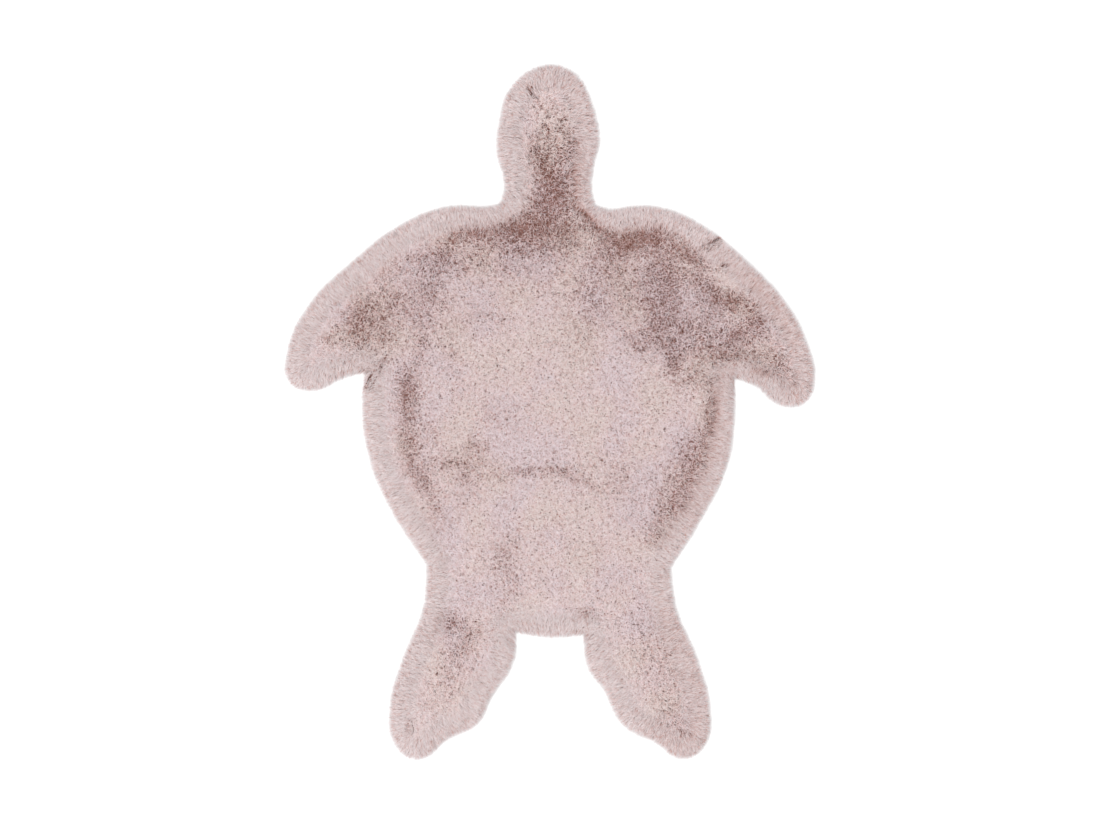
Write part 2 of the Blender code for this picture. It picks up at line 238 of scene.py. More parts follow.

# Short partings: both ends, how far the fur is pushed off the line, and how dark the line's painted shade is
Parting = namedtuple("Parting", "x1 y1 x2 y2 width shade")
PARTINGS = (
    Parting(x1=-238, y1=32, x2=-230, y2=50, width=2.4, shade=0.8),  # behind the left front flipper
    Parting(x1=-230, y1=50, x2=-219, y2=60, width=2.4, shade=0.8),
    Parting(x1=-219, y1=60, x2=-211, y2=72, width=2.1, shade=0.5),
    Parting(x1=202, y1=215, x2=219, y2=224, width=2.2, shade=0.6),  # right front flipper
    Parting(x1=208, y1=184, x2=227, y2=190, width=2.6, shade=0.7),
    Parting(x1=-28, y1=419, x2=-22, y2=406, width=2.6, shade=0.9),  # head
    Parting(x1=-22, y1=406, x2=-8, y2=392, width=2.2, shade=0.6),
    Parting(x1=-8, y1=370, x2=3, y2=352, width=2.0, shade=0.6),
    Parting(x1=22, y1=357, x2=28, y2=345, width=2.6, shade=0.8),
    Parting(x1=10, y1=344, x2=17, y2=323, width=2.6, shade=0.9),
    Parting(x1=20, y1=274, x2=40, y2=262, width=2.5, shade=1.0),  # neck to nape
    Parting(x1=40, y1=262, x2=60, y2=238, width=2.3, shade=1.0),
    Parting(x1=-184, y1=-402, x2=-184, y2=-410, width=2.4, shade=0.6),  # left hind flipper
)
PARTING_REACH = 7 * MM  # how far beyond its width a parting makes the fur lean away

# Small gaps between the locks of a hollow, with sizes for a shade of 1
GAP_PITCH = 3.4 * MM
GAP_JITTER = 0.4
GAP_LENGTH = 1.7 * MM
GAP_LENGTHS = (0.3, 1.2)  # gaps differ between these shares of it
GAP_WIDTH = 0.81 * MM
GAP_WIDTHS = (0.6, 1.3)
GAP_DEPTH = 1.15  # how dark their painted shade is, where more than 1 counts as 1
GAP_REACH = 1.5 * MM  # how far beyond its width a gap makes the fur lean away
GAP_SIZE_POWER = 0.7  # their size follows this power of the shade
GAP_DEPTH_POWER = 1.4  # and the darkness of their painted shade, and their number, this one
FAINT_SHADE = 0.28  # in a fainter hollow than this the gaps are fewer, not smaller
GAPLESS_BAND = (14 * MM, 28 * MM)  # none up to this inset, and all from the next
HEAD_GAP_HEADING = math.radians(-62)  # gaps of the head and neck run along its streaks
HEAD_GAP_SPREAD = 0.4
HEAD_GAP_LONGER = 2.2
HEAD_GAP_NARROWER = 0.72

# How the fur makes way for a parting or a gap
OPENING_PUSH = 0.42  # the tips keep off it by this share of its width
OPENING_TURN = 3.0  # how strongly the strands beside it turn away
OPENING_UNEVENNESS = 0.5
OPENING_FADE = (0.4, 1.6)  # its painted shade ends between these shares of its width
LEAST_CLOSENESS = 0.1  # strands count as beside it from here, on the way from 0 to 1
LEAST_RUN = 0.3 * MM  # these lean over the ground by at least this
SPARE_RUN = 0.4 * MM  # and reach this far over its edge at most
STRAYS = 0.2  # share of the strands that stay where they are

# Fur colours from root to tip, sRGB. The darker ones towards the root are painted shade of the pile's depth
Stop = namedtuple("Stop", "place red green blue")
FUR_STOPS = (
    Stop(place=0.0, red=118, green=66, blue=50),
    Stop(place=0.3, red=201, green=150, blue=139),
    Stop(place=0.6, red=232, green=208, blue=206),
    Stop(place=1.0, red=242, green=230, blue=231),
)
# A strand's darkness sets how far up from the root its painted shade reaches, and how dark its tip is. It
# sums random tone and painted shade
LEAST_DARK = 0.1  # how dark a strand of the open fur is, from 0 to 1
SHADED_DARK = 0.28  # how much darker with painted shade one is in the darkest hollow
GAPLESS_DARK = 0.4  # and how much more painted shade at the rim, where no gaps are open to show it
DEEP_DARK = 0.65  # and how much more painted shade a lock that lies deep has
STRAND_MIX = 0.13  # strands differ by this much
LOCK_MIX = 0.03  # and locks by this, the lower ones darker: random tone and painted shade
DARK_LIMITS = (0.01, 0.98)
# At each share of the way from root to tip, a strand has the colour that FUR_STOPS gives at
# share ** (PALE_CURVE + DARK_CURVE * dark) * (TIP_PALENESS - DARK_FADE * dark)
PALE_CURVE = 0.35
DARK_CURVE = 3.0
TIP_PALENESS = 1.08
DARK_FADE = 0.55

# What tints the fur, one band of its map each: random hues, and the rim's painted shade
COOL, PINK, WARM, RIM_SHADE_TINT = range(4)
NO_TINT = (1.0, 1.0, 1.0)
TINTS = {
    COOL: (0.975, 0.99, 1.02),
    PINK: NO_TINT,
    WARM: (0.99, 1.005, 0.98),
    RIM_SHADE_TINT: (0.87, 0.885, 0.885),  # painted shade: strands of the rim lie flat and catch more light, so their colour is darkened
}
HUE_SWING = 2.2  # how far the hue turns to cool and warm, from place to place
HUE_SPREAD = 0.4  # and from lock to lock

# A strand's ribbon: corners at the root, the bend and the tip, and its two faces, a quad and a triangle
RIBBON_CORNERS = 5
RIBBON_LOOPS = (0, 1, 3, 2, 2, 3, 4)
RIBBON_STARTS = (0, 4)
# Its place on the fur's map, across by how dark it is, and up inside the band of its tint
MAP_SIDES = (0, 1, 0, 1, 0.5)
MAP_WIDTH = 0.006
MAP_ROOT, MAP_TIP = 0.02, 0.98

# The other materials
# The under-pile is coloured dark: painted shade of the pile's depth
UNDER_SHADE_STOPS = (
    Stop(place=0.3, red=104, green=64, blue=52),
    Stop(place=0.7, red=172, green=130, blue=119),
)
GROUND_STOPS = (
    Stop(place=0.0, red=162, green=140, blue=138),
    Stop(place=0.8, red=196, green=176, blue=174),
)
RIB_SCALE = 190.0
LOOP_SCALE = 260.0

FLOOR_SIZE = 12.0
FLOOR_COLOUR = (0.93, 0.93, 0.93)
FLOOR_DROP = 0.4 * MM  # so that it shares no plane with the rug's underside

Lamp = namedtuple("Lamp", "name place size watts")
LAMPS = (
    Lamp(name="overhead", place=(0.0, 0.0, 4.6), size=4.0, watts=120.0),
    Lamp(name="key", place=(-2.4, -1.4, 3.8), size=1.6, watts=50.0),
)
SKY_STRENGTH = 0.68

CAMERA_LENS = 85.0
CAMERA_HEIGHT = 3.36
CAMERA_REACH = 50.0


def linear(red, green, blue):
    """sRGB numbers of 0 to 255 as a linear colour."""
    parts = (channel / 255 for channel in (red, green, blue))
    return tuple(p / 12.92 if p <= 0.04045 else ((p + 0.055) / 1.055) ** 2.4 for p in parts)


def smooth_step(values, low, high):
    share = np.clip((values - low) / (high - low), 0, 1)
    return share * share * (3 - 2 * share)


class Field:
    """Numbers on an even grid over the floor plan, read smoothly between the grid's points."""

    STEP = 2 * MM
    MARGIN = 16 * MM
    LAST_CELL = 1.001  # steps from the far edge, so that a place there still has points beyond it

    def __init__(self, values):
        self.values = values

    @classmethod
    def grid(cls):
        """The grid's places, as an array of rows, columns and (x, y)."""
        low, high = (np.array(corner[:2]) for corner in CAD_BOX)
        cls.low = low - cls.MARGIN
        columns, rows = np.ceil((high + cls.MARGIN - cls.low) / cls.STEP).astype(int) + 1
        x, y = np.meshgrid(np.arange(columns), np.arange(rows))
        return cls.low + np.stack([x, y], axis=-1) * cls.STEP

    def at(self, points):
        """The number at each point, or the vector where the grid holds vectors."""
        rows, columns = self.values.shape[:2]
        place = (points - self.low) / self.STEP
        place = np.clip(place, 0, (columns - self.LAST_CELL, rows - self.LAST_CELL))
        cell = place.astype(int)
        share = place - cell
        if self.values.ndim == 3:
            share = share[..., None]
        across, along = share[:, 0], share[:, 1]
        column, row = cell[:, 0], cell[:, 1]
        near = self.values[row, column] * (1 - across) + self.values[row, column + 1] * across
        far = self.values[row + 1, column] * (1 - across) + self.values[row + 1, column + 1] * across
        return near * (1 - along) + far * along


def tree_of(places):
    """A search tree of places on the floor plan."""
    tree = kdtree.KDTree(len(places))
    for index, (x, y) in enumerate(places):
        tree.insert((x, y, 0), index)
    tree.balance()
    return tree


def welded_solid(node):
    """The CAD node's mesh with its faces joined at their corners, to be freed after use."""
    solid = bmesh.new()
    solid.from_mesh(node.data)
    bmesh.ops.remove_doubles(solid, verts=solid.verts, dist=SAME_PLACE)
    return solid


def foot_ring(solid):
    """The edge of the flat underside, as a closed line that runs anticlockwise seen from above."""
    under = {face for face in solid.faces if all(abs(vertex.co.z) < ON_FLOOR for vertex in face.verts)}
    links = {}
    for edge in solid.edges:
        if sum(face in under for face in edge.link_faces) == 1:
            first, second = edge.verts
            links.setdefault(first, []).append(second)
            links.setdefault(second, []).append(first)
    start = next(iter(links))
    line, before, here = [], None, start
    while True:
        line.append(here.co.to_2d())
        before, here = here, next(other for other in links[here] if other is not before)
        if here is start:
            break
    ring = np.array(line)
    after = np.roll(ring, -1, axis=0)
    area = np.sum(ring[:, 0] * after[:, 1] - ring[:, 1] * after[:, 0]) / 2
    return ring if area > 0 else ring[::-1]


def inset_field(ring):
    """How far each place lies inside the reach of the fur. It is negative outside."""
    after = np.roll(ring, -1, axis=0)
    shares = np.arange(FOOT_PARTS)[:, None, None] / FOOT_PARTS
    samples = (ring * (1 - shares) + after * shares).transpose(1, 0, 2).reshape(-1, 2)
    along = after - ring
    outward = np.stack([along[:, 1], -along[:, 0]], axis=1)
    outward /= np.linalg.norm(outward, axis=1)[:, None]
    outward = np.repeat(outward, FOOT_PARTS, axis=0)
    tree = tree_of(samples)
    places = Field.grid()
    flat = places.reshape(-1, 2)
    found = [tree.find((x, y, 0)) for x, y in flat]
    nearest = np.array([index for _, index, _ in found])
    distance = np.array([distance for _, _, distance in found])
    outside = np.sum((flat - samples[nearest]) * outward[nearest], axis=1) > 0
    inset = np.where(outside, -distance, distance) + FOOT_INSET
    return Field(inset.reshape(places.shape[:2]))


def height_field(solid):
    """The height of the solid's upper surface, and 0 beside it."""
    tree = BVHTree.FromBMesh(solid)
    well_above, down = 1.0, Vector((0, 0, -1))
    places = Field.grid()
    heights = []
    for x, y in places.reshape(-1, 2):
        hit = tree.ray_cast((x, y, well_above), down)[0]
        heights.append(hit.z if hit else 0.0)
    return Field(np.array(heights).reshape(places.shape[:2]))


def blurred(values, width):
    """The values smoothed by a bell curve of that width, along both sides of the grid."""
    reach = int(3 * width / Field.STEP)
    bell = np.exp(-0.5 * (np.arange(-reach, reach + 1) * Field.STEP / width) ** 2)
    bell /= bell.sum()
    for axis in (0, 1):
        values = np.apply_along_axis(lambda line: np.convolve(line, bell, mode="same"), axis, values)
    return values


def lie_field(inset):
    """Which way the fur lies, outwards to the rim and to the tips of the head and flippers."""
    inside = blurred((inset.values > 0).astype(float), LIE_BLUR)
    slope_y, slope_x = np.gradient(inside, Field.STEP)
    lie = -np.stack([slope_x, slope_y], axis=-1) * LIE_BLUR * math.sqrt(2 * math.pi)
    return Field(lie)


def hex_grid(pitch, jitter, rng):
    """Places on a jittered triangular grid over the rug's box."""
    low, high = (np.array(corner[:2]) for corner in CAD_BOX)
    low, high = low - GRID_MARGIN, high + GRID_MARGIN
    row_step = pitch * math.sqrt(3) / 2
    rows = int((high[1] - low[1]) / row_step) + 1
    columns = int((high[0] - low[0]) / pitch) + 1
    column, row = np.meshgrid(np.arange(columns), np.arange(rows))
    x = low[0] + (column + 0.5 * (row % 2)) * pitch
    y = low[1] + row * row_step
    places = np.stack([x.ravel(), y.ravel()], axis=1)
    return places + rng.uniform(-jitter, jitter, places.shape) * pitch


def shade_at(points):
    """How much of the fur's darker depth shows at each place, from 0 to 1."""
    shade = np.zeros(len(points))
    for hollow in HOLLOWS:
        offset = points / MM - (hollow.x, hollow.y)
        turn = math.radians(hollow.heading)
        along = offset @ (math.cos(turn), math.sin(turn))
        across = offset @ (-math.sin(turn), math.cos(turn))
        reach = (along / hollow.half_length) ** 2 + (across / hollow.half_width) ** 2
        shade = 1 - (1 - shade) * (1 - hollow.shade * np.exp(-reach))
    return shade


def noise_at(points, lumps):
    """Smooth noise of about -1 to 1 at each place."""
    return np.array([noise.noise((x / lumps.pitch, y / lumps.pitch, lumps.level)) for x, y in points])


def nearest_of(points, centres):
    """The index of the nearest centre to each point."""
    tree = tree_of(centres)
    return np.array([tree.find((x, y, 0))[1] for x, y in points])


def openings(inset, rng):
    """Points along each parting and each small gap: x, y, how wide the fur is open there, how far around
    it the fur leans away, and how dark its painted shade is."""
    rows = []
    for parting in PARTINGS:
        steps = int(math.dist((parting.x1, parting.y1), (parting.x2, parting.y2))) + 2
        for share in np.linspace(0, 1, steps):
            x = parting.x1 + (parting.x2 - parting.x1) * share
            y = parting.y1 + (parting.y2 - parting.y1) * share
            rows.append((x * MM, y * MM, parting.width * MM, PARTING_REACH, parting.shade))
    gaps = hex_grid(GAP_PITCH, GAP_JITTER, rng)
    shades = shade_at(gaps) * smooth_step(inset.at(gaps), *GAPLESS_BAND)
    kept = rng.uniform(0, 1, len(gaps)) < (shades / FAINT_SHADE) ** GAP_DEPTH_POWER
    gaps, shades = gaps[kept], np.maximum(shades[kept], FAINT_SHADE)
    sizes = shades ** GAP_SIZE_POWER
    depths = np.clip(GAP_DEPTH * shades ** GAP_DEPTH_POWER, 0, 1)
    for (x, y), size, depth in zip(gaps, sizes, depths):
        on_head = y > COMBED_HEAD[0]
        heading = rng.uniform(0, math.pi)
        half = GAP_LENGTH / 2 * size * rng.uniform(*GAP_LENGTHS)
        if on_head:
            heading = HEAD_GAP_HEADING + rng.normal(0, HEAD_GAP_SPREAD)
            half *= HEAD_GAP_LONGER
        width = GAP_WIDTH * size * rng.uniform(*GAP_WIDTHS)
        if on_head:
            width *= HEAD_GAP_NARROWER
        for step in (-half, 0, half):
            place = (x + step * math.cos(heading), y + step * math.sin(heading))
            rows.append((*place, width, GAP_REACH, depth))
    return np.array(rows)


def part_fur(tips, shade, deep, inset, rng):
    """Pushes the tips off each opening and darkens them with painted shade near it. Also gives the way
    that the opening turns the strands, and how far a strand may lean before it would close the opening again."""
    opened = openings(inset, rng)
    opened = opened[nearest_of(tips, opened[:, :2])]
    away = tips - opened[:, :2]
    distance = np.linalg.norm(away, axis=1) + NOT_ZERO
    away /= distance[:, None]
    reach, depth = opened[:, 3], opened[:, 4]
    width = opened[:, 2] * (1 + OPENING_UNEVENNESS * noise_at(tips, OPENING_LUMPS))
    closeness = 1 - smooth_step(distance, width, width + reach)
    closeness *= rng.uniform(0, 1, len(tips)) > STRAYS
    near = closeness > LEAST_CLOSENESS
    push = np.clip(width - distance, 0, None) * OPENING_PUSH * near
    room = distance + push - OPENING_PUSH * width + SPARE_RUN
    most_run = np.where(near, np.clip(room, LEAST_RUN, STRAND_LENGTH), STRAND_LENGTH)
    fade_from, fade_to = (share * width for share in OPENING_FADE)
    depth = depth * near * (1 - smooth_step(distance, fade_from, fade_to))
    turn = away * (OPENING_TURN * closeness)[:, None]
    return tips + away * push[:, None], np.maximum(shade, depth), np.maximum(deep, depth), turn, most_run


def gathered(inset, rng):
    """Tips of all strands, gathered into locks and tufts, with what each takes from its lock and tuft."""
    tips = hex_grid(STRAND_PITCH, STRAND_JITTER, rng)
    kept = smooth_step(inset.at(tips), *SOFT_EDGE) > rng.uniform(0, 1, len(tips))
    tips = tips[kept]
    tufts = hex_grid(TUFT_PITCH, TUFT_JITTER, rng)
    tufts = tufts[inset.at(tufts) > TUFT_EDGE]
    locks = hex_grid(LOCK_PITCH, LOCK_JITTER, rng)
    locks = locks[inset.at(locks) > LOCK_EDGE]
    tuft_of_lock = nearest_of(locks, tufts)
    lock_shade = shade_at(locks)
    lock_shade *= 1 + SHADE_UNEVENNESS * noise_at(locks, SHADE_LUMPS)
    lock_shade = np.clip(lock_shade, 0, 1)
    tuft_shift = (tufts[tuft_of_lock] - locks) * (TUFT_PULL_IN_HOLLOWS * lock_shade)[:, None]
    lock = nearest_of(tips, locks)
    pull = LOCK_PULL + (LOCK_PULL_IN_HOLLOWS - LOCK_PULL) * lock_shade[lock]
    pull *= rng.uniform(*LOCK_PULLS, len(tips))
    tips += (locks[lock] - tips) * pull[:, None] + tuft_shift[lock]
    tone = np.clip(rng.normal(0, 1, len(locks)), -MOST_TONE, MOST_TONE)
    deep = (rng.uniform(0, 1, len(locks)) < DEEP_SHARE * lock_shade).astype(float)
    rise = -tone * LOCK_RISE
    combed = COMB_SWING * noise_at(locks, COMB_LUMPS) + rng.normal(0, COMB_SPREAD, len(locks))
    is_combed = rng.uniform(0, 1, len(locks)) < COMBED_SHARE * smooth_step(locks[:, 1], *COMBED_HEAD)
    swing = np.where(is_combed, combed, rng.uniform(0, 2 * math.pi, len(locks)))
    hue = noise_at(locks, HUE_LUMPS) * HUE_SWING + HUE_SPREAD * rng.normal(0, 1, len(locks))
    return tips, lock_shade[lock], deep[lock], rise[lock], swing[lock], tone[lock], hue[lock]


Strands = namedtuple("Strands", "roots middles tips across dark tint")


def grow_fur(inset, top, lie, rng):
    """Root, bend and tip of every strand, with its width's direction, its tint, and how dark it is by
    random tone and painted shade.
    """
    tips, shade, deep, rise, swing, tone, hue = gathered(inset, rng)
    tips, shade, deep, turn, most_run = part_fur(tips, shade, deep, inset, rng)
    count = len(tips)
    lean_to = lie.at(tips)
    outward = np.clip(np.linalg.norm(lean_to, axis=1), 0, 1)
    spread = np.where(tips[:, 1] > COMBED_HEAD[0], HEAD_SPREAD, FIELD_SPREAD)
    swing = swing + rng.normal(0, 1, count) * spread
    drift = np.stack([np.cos(swing), np.sin(swing)], axis=1)
    lean_to = lean_to + drift * (RIM_DRIFT + FIELD_DRIFT * (1 - outward))[:, None] + turn
    lean_to /= np.linalg.norm(lean_to, axis=1)[:, None] + NOT_ZERO
    rim = 1 - smooth_step(inset.at(tips), *RIM_BAND)
    rim_shade_share = 1 - smooth_step(inset.at(tips), *RIM_SHADE_BAND)
    angle = FIELD_LEAN + (RIM_LEAN - FIELD_LEAN) * np.maximum(outward, rim)
    angle += (HOLLOW_LEAN - angle) * HOLLOW_LEAN_SHARE * shade * (1 - rim)
    angle *= rng.normal(1, LEAN_SPREAD, count)
    length = STRAND_LENGTH * rng.uniform(*STRAND_LENGTHS, count)
    run = lean_to * np.minimum(np.sin(angle) * length, most_run)[:, None]
    roots = tips - run
    middles = roots + run * (MIDDLE_SHARE - BEND_BACK)

    uneven = np.minimum(rise - DEEP_FALL * deep + rng.normal(0, 1, count) * STRAND_RISE, MOST_RISE)
    tip_heights = np.maximum(top.at(tips) - TIP_SINK, rng.uniform(*LOW_TIPS, count) * MM)
    tip_heights = np.maximum(tip_heights + uneven * (1 - EVENER_AT_RIM * rim), LEAST_TIP)
    root_heights = np.maximum(top.at(roots) - STRAND_DEPTH, LEAST_ROOT)
    droop = (DROOP + (DROOP_IN_HOLLOWS - DROOP) * shade) * (1 - rim) + DROOP_AT_RIM * rim
    middle_heights = top.at(middles) - TIP_SINK - droop + MIDDLE_RISE * uneven
    middle_heights = np.maximum(middle_heights, LEAST_MIDDLE)

    gapless = 1 - smooth_step(inset.at(tips), *GAPLESS_BAND)
    # A strand's darkness: random tone, and painted shade for the hollows, the rim, deep locks and openings
    dark = LEAST_DARK + (SHADED_DARK + GAPLESS_DARK * gapless) * shade + DEEP_DARK * deep + LOCK_MIX * tone
    dark = np.clip(dark + rng.normal(0, STRAND_MIX, count), *DARK_LIMITS)
    tint = np.clip(np.round(hue), COOL - PINK, WARM - PINK) + PINK
    # Strands near the rim take its painted shade
    tint = np.where(rng.uniform(0, 1, count) < rim_shade_share, RIM_SHADE_TINT, tint)
    side = np.stack([-lean_to[:, 1], lean_to[:, 0], np.zeros(count)], axis=1)
    twist = rng.normal(0, 1, count) * STRAND_TWIST
    across = side * np.cos(twist)[:, None]
    across[:, 2] = np.sin(twist)
    across *= (1 - THINNER_IN_HOLLOWS * shade)[:, None]
    points = (np.column_stack(pair) for pair in (
        (roots, root_heights), (middles, middle_heights), (tips, tip_heights)
    ))
    return Strands(*points, across, dark, tint)


def fur_mesh(name, strands, chosen):
    """One mesh of the chosen strands: a tapered ribbon each, bent at its middle and pointed at its tip."""
    roots, middles, tips, across = (part[chosen] for part in strands[:4])
    dark, tint = strands.dark[chosen], strands.tint[chosen]
    count = len(roots)
    half_root, half_middle = across * ROOT_WIDTH / 2, across * MIDDLE_WIDTH / 2
    corners = np.stack(
        [roots - half_root, roots + half_root, middles - half_middle, middles + half_middle, tips], axis=1
    )
    mesh = bpy.data.meshes.new(name)
    mesh.vertices.add(count * RIBBON_CORNERS)
    mesh.vertices.foreach_set("co", corners.astype(np.float32).ravel())
    loops = np.arange(count)[:, None] * RIBBON_CORNERS + np.array(RIBBON_LOOPS)
    mesh.loops.add(loops.size)
    mesh.loops.foreach_set("vertex_index", loops.ravel().astype(np.int32))
    starts = np.arange(count)[:, None] * len(RIBBON_LOOPS) + np.array(RIBBON_STARTS)
    mesh.polygons.add(starts.size)
    mesh.polygons.foreach_set("loop_start", starts.ravel().astype(np.int32))
    mesh.polygons.foreach_set("use_smooth", np.ones(starts.size, bool))
    mesh.update(calc_edges=True)

    sides = dark[:, None] + np.array(MAP_SIDES) * MAP_WIDTH
    ups = np.array([MAP_ROOT, MAP_ROOT, MIDDLE_SHARE, MIDDLE_SHARE, MAP_TIP])
    ups = (tint[:, None] + ups) / len(TINTS)
    places = np.stack([sides, ups], axis=2)[:, RIBBON_LOOPS]
    for layer in ("fur", "OFBake"):
        data = mesh.uv_layers.new(name=layer, do_init=False)
        data.uv.foreach_set("vector", places.astype(np.float32).ravel())
    return mesh


# The strands are in several pieces, because one piece may have 200,000 triangles at most. A strand is in the
# first region that holds its tip
Region = namedtuple("Region", "name holds")
REGIONS = (
    Region("pile_head", lambda x, y: y > 262 * MM),
    Region("pile_front_flipper_left", lambda x, y: (x < -150 * MM) & (y > 30 * MM) | (x < -245 * MM)),
    Region("pile_front_flipper_right", lambda x, y: (x > 150 * MM) & (y > 30 * MM) | (x > 245 * MM)),
    Region("pile_hind_flipper_left", lambda x, y: (x < -46 * MM) & (y < -200 * MM)),
    Region("pile_hind_flipper_right", lambda x, y: (x > 46 * MM) & (y < -200 * MM)),
    Region("pile_shell_front", lambda x, y: y > 95 * MM),
    Region("pile_shell_middle", lambda x, y: y > -55 * MM),
    Region("pile_shell_rear", lambda x, y: y > -1),  # all that is left
)


def add_node(tree, kind, place, **settings):
    node = tree.nodes.new(kind)
    node.location = place
    for setting, value in settings.items():
        setattr(node, setting, value)
    return node


def new_material(name):
    """A material with a bare Principled shader, its node tree and that shader."""
    material = bpy.data.materials.new(name)
    material.use_nodes = True
    tree = material.node_tree
    return material, tree, tree.nodes["Principled BSDF"]


def set_inputs(node, values):
    """Sets inputs of a node by their names."""
    for name, value in values.items():
        node.inputs[name].default_value = value


def add_bump(tree, place, height, distance, shader):
    bump = add_node(tree, "ShaderNodeBump", place)
    bump.inputs["Distance"].default_value = distance
    tree.links.new(height, bump.inputs["Height"])
    tree.links.new(bump.outputs["Normal"], shader.inputs["Normal"])


def maths(tree, operation, place, *values):
    """A maths node on one to three inputs, each a socket or a number."""
    node = add_node(tree, "ShaderNodeMath", place, operation=operation)
    for index, value in enumerate(values):
        if isinstance(value, bpy.types.NodeSocket):
            tree.links.new(value, node.inputs[index])
        else:
            node.inputs[index].default_value = value
    return node.outputs[0]


def ramp(tree, place, factor, stops):
    node = add_node(tree, "ShaderNodeValToRGB", place)
    elements = node.color_ramp.elements
    while len(elements) < len(stops):
        elements.new(0.5)
    for element, stop in zip(elements, stops):
        element.position = stop.place
        element.color = (*linear(stop.red, stop.green, stop.blue), 1)
    tree.links.new(factor, node.inputs["Fac"])
    return node.outputs["Color"]


def fur_material():
    """Fur that is dark at the root, a painted shade of the pile's depth, and pale at the tip. Its map holds
    how dark a strand is across, and up it the way from root to tip, once for each tint."""
    material, tree, shader = new_material("plush_fur")
    fur_map = add_node(tree, "ShaderNodeUVMap", (-1400, 0), uv_map="fur")
    parts = add_node(tree, "ShaderNodeSeparateXYZ", (-1200, 0))
    tree.links.new(fur_map.outputs["UV"], parts.inputs["Vector"])
    dark, up = parts.outputs["X"], parts.outputs["Y"]
    up = maths(tree, "MULTIPLY", (-1000, -200), up, len(TINTS))
    band = maths(tree, "FLOOR", (-1000, -400), up)
    along = maths(tree, "FRACT", (-800, -200), up)
    curve = maths(tree, "MULTIPLY_ADD", (-800, 100), dark, DARK_CURVE, PALE_CURVE)
    rise = maths(tree, "POWER", (-600, 0), along, curve)
    fade = maths(tree, "MULTIPLY_ADD", (-600, 200), dark, -DARK_FADE, TIP_PALENESS)
    tone = maths(tree, "MULTIPLY", (-400, 0), rise, fade)
    colour = ramp(tree, (-200, 0), tone, FUR_STOPS)
    tinted = {index: tint for index, tint in TINTS.items() if tint != NO_TINT}
    first, second, result = 6, 7, 2  # a Mix node's colour sockets, whose names occur more than once
    for index, tint in tinted.items():
        here = maths(tree, "COMPARE", (-400, -400 - 200 * index), band, float(index), 0.5)
        place = (100 + 200 * index, 0)
        mix = add_node(tree, "ShaderNodeMix", place, data_type="RGBA", blend_type="MULTIPLY")
        tree.links.new(here, mix.inputs["Factor"])
        tree.links.new(colour, mix.inputs[first])
        mix.inputs[second].default_value = (*tint, 1)
        colour = mix.outputs[result]
    tree.links.new(colour, shader.inputs["Base Color"])
    set_inputs(shader, {
        "Roughness": 0.75, "Specular IOR Level": 0.3, "Sheen Weight": 0.25, "Sheen Roughness": 0.5
    })
    shader.location = (500, 0)
    return material


def under_material():
    """The pile's depth, coloured dark as painted shade, mottled from strand to strand."""
    material, tree, shader = new_material("plush_depth_painted_shade")
    where = add_node(tree, "ShaderNodeTexCoord", (-900, 0))
    grain = add_node(tree, "ShaderNodeTexNoise", (-600, 0))
    tree.links.new(where.outputs["Object"], grain.inputs["Vector"])
    set_inputs(grain, {"Scale": 420.0, "Detail": 3.0})
    tree.links.new(ramp(tree, (-300, 0), grain.outputs["Fac"], UNDER_SHADE_STOPS), shader.inputs["Base Color"])
    add_bump(tree, (-300, -300), grain.outputs["Fac"], 1.0 * MM, shader)
    shader.inputs["Roughness"].default_value = 0.95
    return material


def knit_material():
    """The knitted ground that shows underneath, in fine ribs of loops."""
    material, tree, shader = new_material("knitted_ground")
    where = add_node(tree, "ShaderNodeTexCoord", (-1100, 0))
    ribs = add_node(tree, "ShaderNodeTexWave", (-800, 100), wave_profile="SIN", bands_direction="X")
    loops = add_node(tree, "ShaderNodeTexWave", (-800, -200), wave_profile="SIN", bands_direction="Y")
    for wave, scale in ((ribs, RIB_SCALE), (loops, LOOP_SCALE)):
        tree.links.new(where.outputs["Object"], wave.inputs["Vector"])
        set_inputs(wave, {"Scale": scale, "Distortion": 0.6, "Detail Scale": 2.0})
    both = maths(tree, "MULTIPLY", (-500, 0), ribs.outputs["Fac"], loops.outputs["Fac"])
    tree.links.new(ramp(tree, (-250, 100), both, GROUND_STOPS), shader.inputs["Base Color"])
    add_bump(tree, (-250, -200), both, 0.4 * MM, shader)
    shader.inputs["Roughness"].default_value = 0.9
    return material


def under_pile(ring, inset, top, rng):
    """The closed slab under the strands: a lumpy upper side and a flat, knitted underside."""
    inner = hex_grid(UNDER_PITCH, UNDER_JITTER, rng)
    inner = inner[inset.at(inner) > FOOT_INSET + UNDER_CLEARANCE]
    points = [Vector(point) for point in np.vstack([ring, inner])]
    border = range(len(ring))
    only_inside = 1  # the triangles that lie inside the border
    places, _, faces, _, _, _ = geometry.delaunay_2d_cdt(points, [], [border], only_inside, SAME_PLACE)
    flat = np.array(places)
    heights = top.at(flat) * UNDER_SHARE + noise_at(flat, UNDER_LUMPS) * UNDER_LUMP
    heights = np.maximum(heights, UNDER_EDGE)
    mesh = bpy.data.meshes.new("under_pile")
    mesh.from_pydata(np.column_stack([flat, heights]).tolist(), [], faces)
    slab = bmesh.new()
    slab.from_mesh(mesh)
    rim_edges = [edge for edge in slab.edges if edge.is_boundary]
    drawn = bmesh.ops.extrude_edge_only(slab, edges=rim_edges)["geom"]
    for vertex in (item for item in drawn if isinstance(item, bmesh.types.BMVert)):
        vertex.co.z = 0
    foot = [item for item in drawn if isinstance(item, bmesh.types.BMEdge)]
    bmesh.ops.triangle_fill(slab, edges=foot, use_beauty=True)
    bmesh.ops.recalc_face_normals(slab, faces=slab.faces)
    for face in slab.faces:
        face.smooth = face.normal.z > 0
        face.material_index = int(face.normal.z < -0.99)
    slab.to_mesh(mesh)
    slab.free()
    return mesh


def add_object(name, mesh, *materials):
    for material in materials:
        mesh.materials.append(material)
    piece = bpy.data.objects.new(name, mesh)
    bpy.context.scene.collection.objects.link(piece)
    return piece


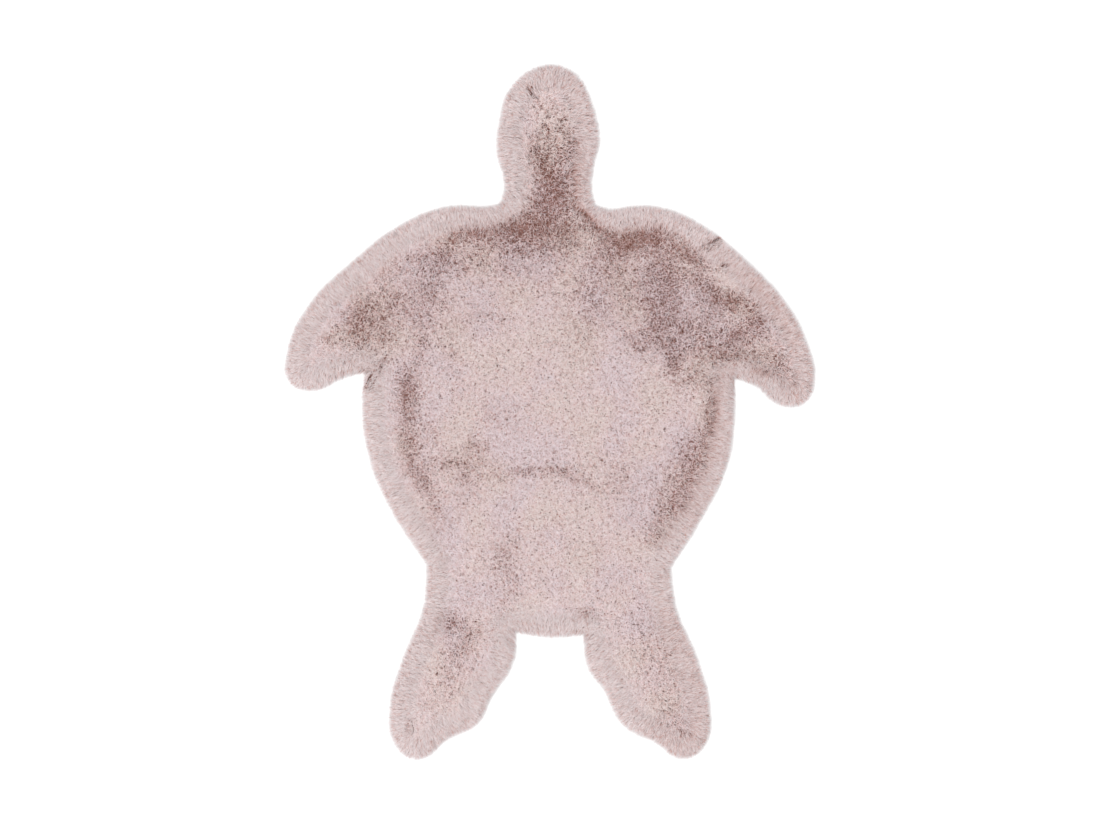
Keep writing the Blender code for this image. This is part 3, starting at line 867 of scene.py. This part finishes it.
def add_rug():
    solid = welded_solid(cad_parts["rug"])
    ring = foot_ring(solid)
    inset = inset_field(ring)
    top = height_field(solid)
    solid.free()
    rng = np.random.default_rng(SEED)
    strands = grow_fur(inset, top, lie_field(inset), rng)
    fur = fur_material()
    left = np.ones(len(strands.tips), bool)
    piles = []
    for region in REGIONS:
        chosen = left & region.holds(strands.tips[:, 0], strands.tips[:, 1])
        left &= ~chosen
        piles.append(add_object(region.name, fur_mesh(region.name, strands, chosen), fur))
    cloth = add_object("under_pile", under_pile(ring, inset, top, rng), under_material(), knit_material())
    for piece in (cloth, *piles):
        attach(piece, "root")
        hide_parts("rug")


def add_floor():
    mesh = bpy.data.meshes.new("floor")
    floor = bmesh.new()
    bmesh.ops.create_grid(floor, x_segments=1, y_segments=1, size=FLOOR_SIZE / 2)
    floor.to_mesh(mesh)
    floor.free()
    material, _, shader = new_material("pale_floor")
    set_inputs(shader, {"Base Color": (*FLOOR_COLOUR, 1), "Roughness": 0.9, "Specular IOR Level": 0.0})
    piece = add_object("floor", mesh, material)
    piece.location.z = -FLOOR_DROP


def add_light():
    """Soft lamps overhead and to one side, under an even white sky."""
    for lamp in LAMPS:
        data = bpy.data.lights.new(lamp.name, "AREA")
        data.size = lamp.size
        data.energy = lamp.watts
        light = bpy.data.objects.new(lamp.name, data)
        light.location = lamp.place
        light.rotation_euler = Vector(lamp.place).to_track_quat("Z", "Y").to_euler()
        bpy.context.scene.collection.objects.link(light)
    world = bpy.data.worlds.new("studio")
    world.use_nodes = True
    sky = world.node_tree.nodes["Background"]
    sky.inputs["Color"].default_value = (1, 1, 1, 1)
    sky.inputs["Strength"].default_value = SKY_STRENGTH
    bpy.context.scene.world = world


def add_camera():
    """Straight above the rug, with its head up."""
    data = bpy.data.cameras.new("camera")
    data.lens = CAMERA_LENS
    data.clip_end = CAMERA_REACH
    camera = bpy.data.objects.new("camera", data)
    camera.location = (0, 0, CAMERA_HEIGHT)
    bpy.context.scene.collection.objects.link(camera)
    bpy.context.scene.camera = camera


add_camera()
add_rug()
add_floor()
add_light()
bpy.context.scene.view_settings.view_transform = "Standard"
